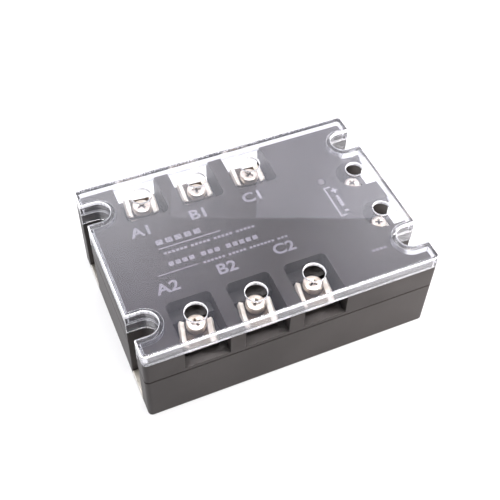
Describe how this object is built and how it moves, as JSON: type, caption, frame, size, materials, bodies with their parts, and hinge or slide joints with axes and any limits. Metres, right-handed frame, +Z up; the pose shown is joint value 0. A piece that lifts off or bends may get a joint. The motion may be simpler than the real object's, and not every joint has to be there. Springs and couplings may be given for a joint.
{
  "type": "solid state relay",
  "caption": "Flat block-shaped three-phase solid state relay with open screw-terminal bays, corner mounting notches, a metal base plate and a clear lift-off safety cover.",
  "frame": {"origin": "middle of the underside of the base plate", "axes": "+Z up out of the clear cover, +X along the length towards the control terminals, +Y towards the first row of power terminals"},
  "size_m": [0.105, 0.0746, 0.036],
  "materials": {
    "base_plate_nickel": "satin nickel plate",
    "housing_dark": "fine satin",
    "cover_clear": "clear, polished (polycarbonate)",
    "bar_tinned": "tin plate on copper",
    "clamp_nickel": "nickel plate, stamped",
    "screw_nickel": "nickel plate",
    "nut_zinc": "zinc plate",
    "board_green": "solder mask",
    "moulded_black": "moulded epoxy",
    "film_capacitor": "boxed film capacitor",
    "resistor_body": "lacquer",
    "led_clear": "water-clear lens",
    "ceramic_white": "sintered alumina",
    "silicon_die": "polished silicon",
    "copper_strap": "bare copper",
    "potting_grey": "cast silicone compound"
  },
  "bodies": {
    "relay": {"base_plate": "base_plate_nickel", "base_screws": "screw_nickel", "ceramic_substrate_a": "ceramic_white", "ceramic_substrate_b": "ceramic_white", "ceramic_substrate_c": "ceramic_white", "circuit_board": "board_green", "control_nuts": "nut_zinc", "control_terminal_minus": "bar_tinned", "control_terminal_plus": "bar_tinned", "die_strap_a1": "copper_strap", "die_strap_a2": "copper_strap", "die_strap_b1": "copper_strap", "die_strap_b2": "copper_strap", "die_strap_c1": "copper_strap", "die_strap_c2": "copper_strap", "gate_pins": "bar_tinned", "gate_resistors": "resistor_body", "input_regulator": "moulded_black", "lower_housing": "housing_dark", "optocoupler_a": "moulded_black", "optocoupler_b": "moulded_black", "optocoupler_c": "moulded_black", "potting_compound": "potting_grey", "snubber_capacitor_a": "film_capacitor", "snubber_capacitor_b": "film_capacitor", "snubber_capacitor_c": "film_capacitor", "status_led": "led_clear", "terminal_bar_a1": "bar_tinned", "terminal_bar_a2": "bar_tinned", "terminal_bar_b1": "bar_tinned", "terminal_bar_b2": "bar_tinned", "terminal_bar_c1": "bar_tinned", "terminal_bar_c2": "bar_tinned", "terminal_nuts": "nut_zinc", "thyristor_die_a1": "silicon_die", "thyristor_die_a2": "silicon_die", "thyristor_die_b1": "silicon_die", "thyristor_die_b2": "silicon_die", "thyristor_die_c1": "silicon_die", "thyristor_die_c2": "silicon_die", "upper_housing": "housing_dark"},
    "cover": {"clear_cover": "cover_clear"},
    "clamp_a1": {"clamp_washer_a1": "clamp_nickel"},
    "screw_a1": {"terminal_screw_a1": "screw_nickel"},
    "clamp_b1": {"clamp_washer_b1": "clamp_nickel"},
    "screw_b1": {"terminal_screw_b1": "screw_nickel"},
    "clamp_c1": {"clamp_washer_c1": "clamp_nickel"},
    "screw_c1": {"terminal_screw_c1": "screw_nickel"},
    "clamp_a2": {"clamp_washer_a2": "clamp_nickel"},
    "screw_a2": {"terminal_screw_a2": "screw_nickel"},
    "clamp_b2": {"clamp_washer_b2": "clamp_nickel"},
    "screw_b2": {"terminal_screw_b2": "screw_nickel"},
    "clamp_c2": {"clamp_washer_c2": "clamp_nickel"},
    "screw_c2": {"terminal_screw_c2": "screw_nickel"},
    "clamp_plus": {"control_clamp_plus": "clamp_nickel"},
    "screw_plus": {"control_screw_plus": "screw_nickel"},
    "clamp_minus": {"control_clamp_minus": "clamp_nickel"},
    "screw_minus": {"control_screw_minus": "screw_nickel"}
  },
  "joints": [
    {"name": "cover_lift", "type": "slide", "parent": "relay", "child": "cover", "axis": [0, 0, 1], "range_m": [0, 0.04]},
    {"name": "clamp_a1_rise", "type": "slide", "parent": "relay", "child": "clamp_a1", "axis": [0, 0, 1], "range_m": [0, 0.0028]},
    {"name": "screw_a1_turn", "type": "hinge", "parent": "clamp_a1", "child": "screw_a1", "pos_m": [-0.0312, 0.027, 0.0269], "axis": [0, 0, 1], "range_deg": [0, 1442]},
    {"name": "clamp_b1_rise", "type": "slide", "parent": "relay", "child": "clamp_b1", "axis": [0, 0, 1], "range_m": [0, 0.0028]},
    {"name": "screw_b1_turn", "type": "hinge", "parent": "clamp_b1", "child": "screw_b1", "pos_m": [-0.0104, 0.027, 0.0269], "axis": [0, 0, 1], "range_deg": [0, 1442]},
    {"name": "clamp_c1_rise", "type": "slide", "parent": "relay", "child": "clamp_c1", "axis": [0, 0, 1], "range_m": [0, 0.0028]},
    {"name": "screw_c1_turn", "type": "hinge", "parent": "clamp_c1", "child": "screw_c1", "pos_m": [0.0104, 0.027, 0.0269], "axis": [0, 0, 1], "range_deg": [0, 1442]},
    {"name": "clamp_a2_rise", "type": "slide", "parent": "relay", "child": "clamp_a2", "axis": [0, 0, 1], "range_m": [0, 0.0028]},
    {"name": "screw_a2_turn", "type": "hinge", "parent": "clamp_a2", "child": "screw_a2", "pos_m": [-0.0312, -0.027, 0.0269], "axis": [0, 0, 1], "range_deg": [0, 1442]},
    {"name": "clamp_b2_rise", "type": "slide", "parent": "relay", "child": "clamp_b2", "axis": [0, 0, 1], "range_m": [0, 0.0028]},
    {"name": "screw_b2_turn", "type": "hinge", "parent": "clamp_b2", "child": "screw_b2", "pos_m": [-0.0104, -0.027, 0.0269], "axis": [0, 0, 1], "range_deg": [0, 1442]},
    {"name": "clamp_c2_rise", "type": "slide", "parent": "relay", "child": "clamp_c2", "axis": [0, 0, 1], "range_m": [0, 0.0028]},
    {"name": "screw_c2_turn", "type": "hinge", "parent": "clamp_c2", "child": "screw_c2", "pos_m": [0.0104, -0.027, 0.0269], "axis": [0, 0, 1], "range_deg": [0, 1442]},
    {"name": "clamp_plus_rise", "type": "slide", "parent": "relay", "child": "clamp_plus", "axis": [0, 0, 1], "range_m": [0, 0.002]},
    {"name": "screw_plus_turn", "type": "hinge", "parent": "clamp_plus", "child": "screw_plus", "pos_m": [0.0448, 0.0103, 0.0255], "axis": [0, 0, 1], "range_deg": [0, 1442]},
    {"name": "clamp_minus_rise", "type": "slide", "parent": "relay", "child": "clamp_minus", "axis": [0, 0, 1], "range_m": [0, 0.002]},
    {"name": "screw_minus_turn", "type": "hinge", "parent": "clamp_minus", "child": "screw_minus", "pos_m": [0.0448, -0.0103, 0.0255], "axis": [0, 0, 1], "range_deg": [0, 1442]}
  ],
  "couplings": [
    {"joint": "screw_a1_turn", "follows": "clamp_a1_rise", "rad_per_m": 8976},
    {"joint": "screw_b1_turn", "follows": "clamp_b1_rise", "rad_per_m": 8976},
    {"joint": "screw_c1_turn", "follows": "clamp_c1_rise", "rad_per_m": 8976},
    {"joint": "screw_a2_turn", "follows": "clamp_a2_rise", "rad_per_m": 8976},
    {"joint": "screw_b2_turn", "follows": "clamp_b2_rise", "rad_per_m": 8976},
    {"joint": "screw_c2_turn", "follows": "clamp_c2_rise", "rad_per_m": 8976},
    {"joint": "screw_plus_turn", "follows": "clamp_plus_rise", "rad_per_m": 12566},
    {"joint": "screw_minus_turn", "follows": "clamp_minus_rise", "rad_per_m": 12566}
  ]
}
